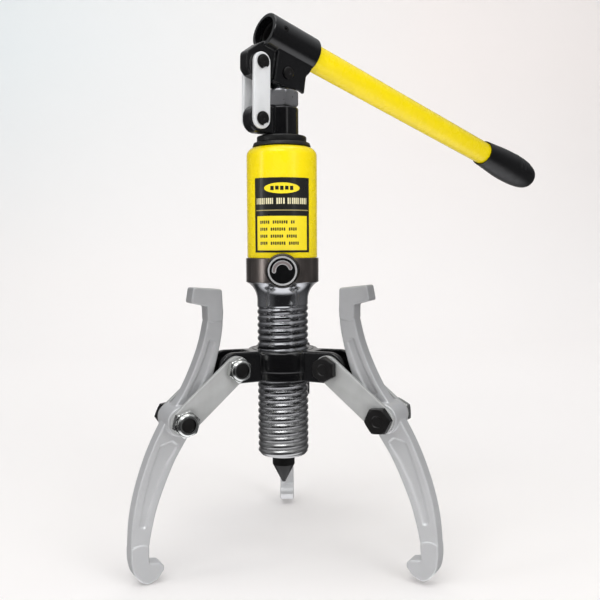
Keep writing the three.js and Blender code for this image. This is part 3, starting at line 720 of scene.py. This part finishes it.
def slotted_bar(a, b, r, steps=16):
    direction = math.degrees(math.atan2(b[1] - a[1], b[0] - a[0]))
    return (arc(*a, r, direction + 90, direction + 270, steps)
            + arc(*b, r, direction - 90, direction + 90, steps))


for side, sign in (("front", 1), ("rear", -1)):
    bar = plate(slotted_bar(LOWER_PIN, UPPER_PIN, PUMP_LINK_W / 2), PUMP_LINK_T, 0.5,
                [circle(*LOWER_PIN, PIN_R + 0.2), circle(*UPPER_PIN, PIN_R + 0.2)])
    piece(f"pump_strap_{side}", bar, BRIGHT_ZINC, "pump_links", [f"pump_link_{side}"],
          HEAD @ shift(z=sign * (link_inner + PUMP_LINK_T / 2)))
for prefix, at, body_name, gap_turn in (("lower_link", LOWER_PIN, "pump_head", -60),
                                        ("upper_link", UPPER_PIN, "handle", -70)):
    groove = link_outer + GAP - 0.1
    profile = rounded([(0, -pin_end, 0), (PIN_R, -pin_end, 0.5), (PIN_R, -groove - 1.2, 0.1),
                       (PIN_R - 0.8, -groove - 1.2, 0.1), (PIN_R - 0.8, -groove, 0.1), (PIN_R, -groove, 0.1),
                       (PIN_R, groove, 0.1), (PIN_R - 0.8, groove, 0.1), (PIN_R - 0.8, groove + 1.2, 0.1),
                       (PIN_R, groove + 1.2, 0.1), (PIN_R, pin_end, 0.5), (0.9, pin_end, 0.2),
                       (0, pin_end - 0.7, 0)], 0.1, 3, closed=False)
    piece(f"{prefix}_dowel", lathe(profile, 48), OXIDE, body_name, [f"{prefix}_pin"],
          HEAD @ shift(*at))
    for side, sign in (("front", 1), ("rear", -1)):
        clip = rounded(arc(0, 0, PIN_R + 1.2, gap_turn + 26, gap_turn + 334, 40)
                       + arc(0, 0, PIN_R - 0.6, gap_turn + 334, gap_turn + 26, 40), 0.0)
        piece(f"{prefix}_ring_{side}", plate(clip, 1.0, 0.15), OXIDE, body_name,
              [f"{prefix}_clip_{side}"], HEAD @ shift(*at, sign * (link_outer + GAP + 0.5)))


# ---------------------------------------------------------------- handle
def bore(r, z0, z1, matrix):
    return moved(lathe([(0, z0), (r, z0), (r, z1), (0, z1)], 64), matrix)


def in_handle(point):
    h = Vector((point[0], point[1] - PIVOT_Z, 0))
    return tuple((turn(TILT) @ h)[:2])


along = shift(y=TUBE_V) @ turn(90, "Y")
pin_at = shift(*in_handle(UPPER_PIN))
screw_at = shift(-12.8, TUBE_V) @ turn(-12, "X")
socket_tube = moved(lathe(rounded([(0, SOCKET_U0, 0), (SOCKET_R, SOCKET_U0, 0.8),
                                   (SOCKET_R, SOCKET_U1, 1.2), (0, SOCKET_U1, 0)],
                                  0.5, 5, closed=False), 96), along)
tongue = plate(rounded([(-28, -12, 2), (5, -12, 1), (5, 20, 1), (-20, 18, 1), (-27.4, 11.8, 2),
                        (-35.4, 2.4, 4), (-32.6, -9, 4)], 1, 6), 2 * LUG_HALF_W, 0.6)
ears = plate(rounded([(-10, -10.4, 1), (2, -9.8, 1), (13.5, -8.2, 4), (18.4, -8.8, 1), (17, 4.5, 4),
                      (19.5, 8, 5), (21.6, 13.5, 5), (22, 20, 1), (-13, 22, 1)], 1, 6), 2 * EAR_HALF_W, 0.9)


def plunger_room():
    """Space between the ears for the plunger's tang."""
    return plate([(-10.2, -20), (40, -20), (40, 11), (-10.2, 11)], 2 * EAR_SLOT_HALF, 0.05)


PIVOT_BOLT_R, SCREW_R = 3.0, 2.0
cutters = [bore(TUBE_R + 0.25, -30, 40, along), bore(PIN_R + 0.2, -20, 20, pin_at),
           bore(PIVOT_BOLT_R + 0.2, -20, 20, shift()), bore(SCREW_R + 0.2, 2, 20, screw_at)]
socket_skin = cast(joined(socket_tube, cut(tongue, plunger_room()), cut(ears, plunger_room())), 0.45, 5)
socket = cut(socket_skin, *cutters)
piece("handle_socket", socket, BLACK, "handle", ["socket_casting"], HANDLE, sharp=50)
head_low = EAR_HALF_W + GAP
pivot_profile = rounded([(0, head_low - 1, 0), (PIVOT_BOLT_R, head_low - 1, 0), (PIVOT_BOLT_R, head_low, 0),
                         (4.4, head_low, 0.2), (4.4, head_low + 1.1, 0.5), (3.4, head_low + 1.6, 0.4),
                         (1.4, head_low + 1.6, 0.1), (1.0, head_low + 1.2, 0.1), (0, head_low + 1.2, 0)],
                        0.2, 3, closed=False)
pivot_screw = joined(round_bar(PIVOT_BOLT_R, -EAR_HALF_W, head_low, 0.3), lathe(pivot_profile, 64))
piece("pivot_screw", pivot_screw, OXIDE, "handle", ["pivot_bolt"], HANDLE)
screw_top = SOCKET_R - GAP
grub_screw = cut(round_bar(SCREW_R, TUBE_R + 0.15, screw_top, 0.2),
                 hexagon(2.2, screw_top - 0.9, screw_top + 0.5))
piece("grub_screw", grub_screw, OXIDE, "handle", ["set_screw"], HANDLE @ screw_at)

tube_end = GRIP_U1 - 8
tube = lathe(rounded([(TUBE_R - TUBE_WALL, TUBE_U0), (TUBE_R, TUBE_U0), (TUBE_R, tube_end),
                      (TUBE_R - TUBE_WALL, tube_end)], 0.3, 2), 96, closed=True)
# the tube's end face and bore are near-black oxide: partly the dirty bare inside, partly painted shade in the bore
# and socket mouth
for face in tube.faces:
    centre = face.calc_center_median()
    face.material_index = int(centre.z < TUBE_U0 + 0.4 or math.hypot(centre.x, centre.y) < TUBE_R - 0.5)
piece("handle_bar", tube, [YELLOW, OXIDE], "handle", ["handle_tube"], TUBE)


def ribs(r, z, angle):
    """Fine grip ribs over a patch near the end, on the upper front."""
    if r < TUBE_R + 0.8:
        return r
    along_grip = (z - GRIP_U0) / (GRIP_U1 - GRIP_U0)
    window = step_up(0.5, 0.56, along_grip) * (1 - step_up(0.82, 0.88, along_grip))
    facing = math.cos(angle - rad(130))
    window *= step_up(0.35, 0.6, facing)
    return r + 0.35 * window * math.cos(2 * math.pi * z / 2.4)


# radius against the part of the grip's length
grip_line = spline([(11.4, 0), (11.8, 0.05), (12.6, 0.17), (13.8, 0.35), (14.3, 0.52), (14, 0.7),
                    (12.9, 0.84), (11, 0.94), (8, 0.99), (4, 1.0)], 14)
grip_outer = [(r, GRIP_U0 + t * (GRIP_U1 - GRIP_U0)) for r, t in grip_line]
grip = lathe([(TUBE_R + 0.1, GRIP_U0 + 0.4), (10.6, GRIP_U0)] + grip_outer + [(0, GRIP_U1 - 0.2)]
             + [(0, tube_end + 0.3), (TUBE_R + 0.1, tube_end + 0.3)], 128, ribs)
piece("rubber_grip", grip, RUBBER, "handle", ["handle_grip"], TUBE, sharp=50)

# ---------------------------------------------------------------- crosshead
hub = lathe(rounded([(BUSH_R + 0.2, HUB_BOTTOM), (HUB_R - 1.2, HUB_BOTTOM, 0.6),
                     (HUB_R - 0.6, HUB_BOTTOM + 7, 0.3), (HUB_R, HUB_BOTTOM + 7.6, 0.3),
                     (HUB_R, HUB_TOP - 1.6, 0.4), (HUB_R - 1.6, HUB_TOP, 0.4),
                     (BUSH_R + 0.2, HUB_TOP)], 0.2, 3), 120, closed=True)
arms = [hub]
for n, azimuth in enumerate(ARM_AZ, 1):
    pivot = pivot_in_plane(f"link_{n}_swing", azimuth)
    shape = [(BUSH_R + 1, HUB_BOTTOM)] + arc(*pivot, LUG_END_R, -90, 90, 24) + [(BUSH_R + 1, HUB_TOP)]
    slot_space = plate([(LUG_SLOT_START, 40), (95, 40), (95, 150), (LUG_SLOT_START, 150)], LUG_SLOT_W, 0.05)
    bolt_hole = lathe([(0, -20), (BOLT_R + 0.3, -20), (BOLT_R + 0.3, 20), (0, 20)], 48)
    arm = cut(plate(shape, LUG_W, 1.1), slot_space, moved(bolt_hole, shift(*pivot)))
    arms.append(moved(arm, upright(azimuth)))
hub_bore = lathe([(0, 60), (BUSH_R + 0.2, 60), (BUSH_R + 0.2, 120), (0, 120)], 120)
spider = cut(cast(joined(*arms), 0.55, 5), hub_bore)
piece("crosshead_casting", spider, BLACK, "crosshead", ["crosshead"], sharp=55)
bush_profile = rounded([(SLEEVE_R + 0.2, HUB_BOTTOM, 0.8), (BUSH_R, HUB_BOTTOM, 0.2), (BUSH_R, HUB_TOP, 0.2),
                        (SLEEVE_R + 0.2, HUB_TOP, 0.8)], 0.3, 3)
piece("crosshead_bush_ring", lathe(bush_profile, 96, closed=True), BLACK, "crosshead_bush",
      ["threaded_bush"])

# ---------------------------------------------------------------- links, bolts and jaws
plate_inner = LUG_W / 2 + GAP
plate_outer = plate_inner + LINK_T
head_inner = plate_outer + GAP


def bolt(prefix, at, azimuth, body_name, across_flats, head_spin, nut_spin):
    place = upright(azimuth) @ shift(*at)
    head_top = head_inner + HEAD_H
    head = moved(hexagon(across_flats, head_inner + 0.6, head_top), turn(head_spin))
    washer = round_bar(across_flats / 2 - 0.3, head_inner, head_inner + 0.7, 0.15, 72)
    dimple = lathe([(0, head_top - 0.5), (3.6, head_top - 0.5), (4.4, head_top + 0.2),
                    (0, head_top + 0.2)], 48)
    shank = round_bar(BOLT_R, -head_inner - NUT_H + 0.8, head_inner + 1, 0.9, 48)
    piece(f"{prefix}_hex_bolt", joined(shank, washer, cut(head, dimple)), OXIDE, body_name,
          [f"{prefix}_bolt"], place)
    nut = moved(hexagon(across_flats, head_inner, head_inner + NUT_HEX_H, both_ends=True), turn(nut_spin))
    low, top = head_inner + NUT_HEX_H - 0.5, head_inner + NUT_H
    collar_r = across_flats / 2 - 0.6
    collar = lathe(rounded([(0, low, 0), (collar_r, low, 0), (collar_r, top - 1.2, 0.7),
                            (collar_r - 1.3, top, 0.8), (0, top, 0)], 0.4, 5, closed=False), 72)
    holes = [lathe([(0, head_inner - 1), (BOLT_R + 0.15, head_inner - 1),
                    (BOLT_R + 0.15, head_inner + 12), (0, head_inner + 12)], 48) for _ in range(2)]
    piece(f"{prefix}_lock_nut", joined(cut(nut, holes[0]), cut(collar, holes[1])), LOCK_ZINC, body_name,
          [f"{prefix}_nut"], place @ turn(180, "X"))


# the jaw's outline, in mm from its bolt: hook, outer edge, claw, inner edge
JAW_HOOK = [(-34.5, 89.8, 1.6), (-13, 92, 1.6), (-11, 81.2, 1.4), (-23, 78.2, 1.2)]
JAW_OUTER = [(-23.2, 68), (-19.1, 52), (-12.7, 36), (-4.3, 20), (4.6, 8), (12.8, -4), (21.3, -20),
             (27.8, -36), (32.8, -52), (36, -68), (37.4, -84), (37.6, -94), (35.6, -103), (31, -109)]
JAW_CLAW = [(26.5, -111.4, 3), (19.5, -109, 5), (14.8, -103.6, 3), (14.6, -100.5, 1.5), (17, -98, 1.5),
            (25.2, -96.4, 0.8)]
JAW_INNER = [(24.8, -86), (22.8, -76), (18.4, -60), (12, -44), (4.2, -28), (-4.5, -14.5), (-12, -2.5),
             (-19.6, 13), (-27, 32), (-31.8, 49), (-34.4, 62), (-35.1, 74)]
UPPER_POCKET = [(-29.5, 52.5, 1.5), (-24, 54.5, 1.5), (-20.5, 44, 0), (-14, 30, 0), (-5.5, 15.5, 2),
                (-12, 13, 2), (-22, 32, 0)]
LOWER_POCKET = [(5.5, -13.5, 2), (14.5, -15.5, 2), (22, -34, 0), (27.6, -53, 0), (31.2, -70, 2.5),
                (26.8, -72.5, 2.5), (23.6, -60, 0), (17.4, -44, 0), (9.8, -29, 0), (1.5, -17.5, 2)]


def make_jaw():
    hook = rounded([(-35.1, 74, 0)] + JAW_HOOK + [(-23.2, 68, 0)], 1, 5, closed=False)
    claw = rounded([JAW_OUTER[-1]] + JAW_CLAW + [JAW_INNER[0]], 1, 6, closed=False)
    outline = hook + spline(JAW_OUTER, 6)[1:-1] + claw + spline(JAW_INNER, 6)[1:-1]
    web = plate(outline, JAW_T - 1.2, 0.8)
    for pocket in (UPPER_POCKET, LOWER_POCKET):
        for side in (-1, 1):
            recess = plate(rounded(pocket, 1, 5), 4.6, 1.2)
            web = cut(web, moved(recess, shift(z=side * (JAW_T / 2 + 0.3))))
    arch = arc(31.5, -92.5, 9.6, 38, 142, 8)
    claw_area = [(45, -86)] + arch + [(10, -86), (10, -120), (45, -120)]
    dip = arc(-29, 76.5, 9.6, 218, 322, 8)
    hook_area = [(-45, 70)] + dip + [(0, 70), (0, 100), (-45, 100)]
    blocks = [kept(plate(outline, JAW_T, 0.8), plate(area, 40, 0.01)) for area in (claw_area, hook_area)]
    boss = round_bar(JAW_BOSS_R, -LUG_W / 2, LUG_W / 2, 0.5, 72)
    skin = cast(joined(web, boss, *blocks), 0.5, 4)
    return cut(skin, lathe([(0, -20), (BOLT_R + 0.3, -20), (BOLT_R + 0.3, 20), (0, 20)], 48))


jaw_master = make_jaw()
for i, azimuth in enumerate(ARM_AZ):
    n = i + 1
    upper = pivot_in_plane(f"link_{n}_swing", azimuth)
    lower = pivot_in_plane(f"jaw_{n}_tilt", azimuth)
    pair = f"link_pair_{n}"
    for letter, sign in (("a", 1), ("b", -1)):
        bar = plate(slotted_bar(upper, lower, LINK_END_R), LINK_T, 0.5,
                    [circle(*upper, BOLT_R + 0.2), circle(*lower, BOLT_R + 0.2)])
        piece(f"link_{n}_{letter}_strap", bar, ZINC, pair, [f"link_{n}_{letter}"],
              upright(azimuth) @ shift(z=sign * (plate_inner + LINK_T / 2)))
    bolt(f"upper_{n}", upper, azimuth, pair, UPPER_HEX_AF, (8, 47, 0)[i], (14, 50, 22)[i])
    bolt(f"lower_{n}", lower, azimuth, pair, LOWER_HEX_AF, (14, 25, 36)[i], (34, 45, 56)[i])
    piece(f"jaw_{n}_forging", jaw_master.copy(), FORGED, f"jaw_{n}_body", [f"jaw_{n}"],
          upright(azimuth) @ shift(*lower) @ turn(JAW_TILT[i]), sharp=60)
jaw_master.free()

# ---------------------------------------------------------------- studio
FLOOR_Z = CAD_BOUNDS[0][2] - 0.0005
FLOOR_END, SWEEP_R = 1.1, 0.8


def studio():
    """Pale paper that lies flat in front and sweeps up behind the tool."""
    bm = bmesh.new()
    section = [(-2.5, FLOOR_Z), (FLOOR_END, FLOOR_Z)]
    for a in range(6, 91, 6):
        section.append((FLOOR_END + SWEEP_R * math.sin(rad(a)), FLOOR_Z + SWEEP_R * (1 - math.cos(rad(a)))))
    section.append((FLOOR_END + SWEEP_R, FLOOR_Z + 3))
    left = [bm.verts.new((-3, y, z)) for y, z in section]
    right = [bm.verts.new((3, y, z)) for y, z in section]
    for i in range(len(section) - 1):
        bm.faces.new((left[i], right[i], right[i + 1], left[i + 1])).smooth = True
    mesh = bpy.data.meshes.new("backdrop")
    bm.to_mesh(mesh)
    bm.free()
    material = bpy.data.materials.new("backdrop_paper")
    material.use_nodes = True
    shader = material.node_tree.nodes["Principled BSDF"]
    nodes = material.node_tree
    place = new_node(nodes, "TexCoord").outputs["Object"]
    spot = new_node(nodes, "SeparateXYZ", {"Vector": place})
    across = spread(nodes, spot.outputs["X"], -1.1, 0.5, 1, 0)
    paper = mix_color(nodes, across, (0.93, 0.885, 0.865, 1), (0.86, 0.915, 0.93, 1))
    height = spread(nodes, spot.outputs["Z"], 0.1, 0.8, 0, 1)
    paper = mix_color(nodes, height, (0.93, 0.905, 0.89, 1), paper)
    nodes.links.new(paper, shader.inputs["Base Color"])
    shader.inputs["Roughness"].default_value = 0.9
    shader.inputs["Specular IOR Level"].default_value = 0.1
    mesh.materials.append(material)
    obj = bpy.data.objects.new("backdrop", mesh)
    collection.objects.link(obj)
    obj.visible_glossy = False


studio()


def softbox(name, position, target, size, energy, mirrored=True):
    """Area light. mirrored says whether shiny surfaces show it."""
    light = bpy.data.lights.new(name, "AREA")
    light.shape = "RECTANGLE"
    light.size, light.size_y = size
    light.energy = energy
    obj = bpy.data.objects.new(name, light)
    obj.location = position
    obj.rotation_euler = (Vector(target) - Vector(position)).to_track_quat("-Z", "Y").to_euler()
    obj.visible_glossy = mirrored
    collection.objects.link(obj)


softbox("key", (0.85, -1.05, 0.6), (0, 0, 0.15), (0.85, 1.2), 5.5, mirrored=False)
softbox("key_strip", (0.8, -1.0, 0.6), (0, 0, 0.15), (0.2, 1.2), 0.8)
softbox("front_fill", (-0.5, -1.6, 0.02), (0, 0, 0.1), (1.6, 0.9), 7.6, mirrored=False)
softbox("low_front", (-0.1, -0.85, 0.08), (0, 0, -0.03), (1.5, 0.2), 2.0, mirrored=False)
softbox("high_front", (-0.3, -0.9, 1.15), (0, 0, 0.3), (1.1, 0.3), 4)
softbox("left_strip", (-1.3, -0.5, 0.5), (0, 0, 0.12), (0.25, 1.0), 2)
softbox("top", (0, -0.15, 1.5), (0, 0, 0), (1.3, 0.8), 5)
softbox("back_wash", (0, 0.75, 1.3), (0, 1.9, 0.2), (3.5, 0.5), 13, mirrored=False)

world = bpy.data.worlds.new("studio_air")
bpy.context.scene.world = world
world.use_nodes = True
tree = world.node_tree
background = tree.nodes["Background"]
direction = new_node(tree, "TexCoord").outputs["Generated"]
parts = new_node(tree, "SeparateXYZ", {"Vector": direction})
# dark in front, a little light at the sides, bright overhead, below and behind
overhead = spread(tree, parts.outputs["Z"], 0.25, 0.75, 0, 1)
table = spread(tree, parts.outputs["Z"], -0.62, -0.82, 0, 1)
sideways = new_node(tree, "Math", {0: parts.outputs["X"]}, operation="ABSOLUTE").outputs[0]
side = spread(tree, sideways, 0.5, 1, 0, 0.22)
air = mix_color(tree, side, (0.03, 0.03, 0.032, 1), (0.8, 0.8, 0.82, 1))
air = mix_color(tree, overhead, air, (0.85, 0.86, 0.88, 1))
air = mix_color(tree, table, air, (1.8, 1.8, 1.85, 1))
behind = spread(tree, parts.outputs["Y"], 0.78, 0.97, 0, 1)
air = mix_color(tree, behind, air, (0.8, 0.78, 0.77, 1))
tree.links.new(air, background.inputs["Color"])
background.inputs["Strength"].default_value = 0.7
bpy.context.scene.view_settings.view_transform = "Standard"

# ---------------------------------------------------------------- camera
camera_data = bpy.data.cameras.new("camera")
camera_data.lens = 45
camera_data.sensor_width = 36
camera = bpy.data.objects.new("camera", camera_data)
collection.objects.link(camera)
YAW, PITCH, ROLL = -1.33, -4.12, -0.28
camera.location = (0, -0.561, 0.1788)
camera.rotation_euler = (turn(YAW) @ turn(90 + PITCH, "X") @ turn(ROLL)).to_euler()
bpy.context.scene.camera = camera
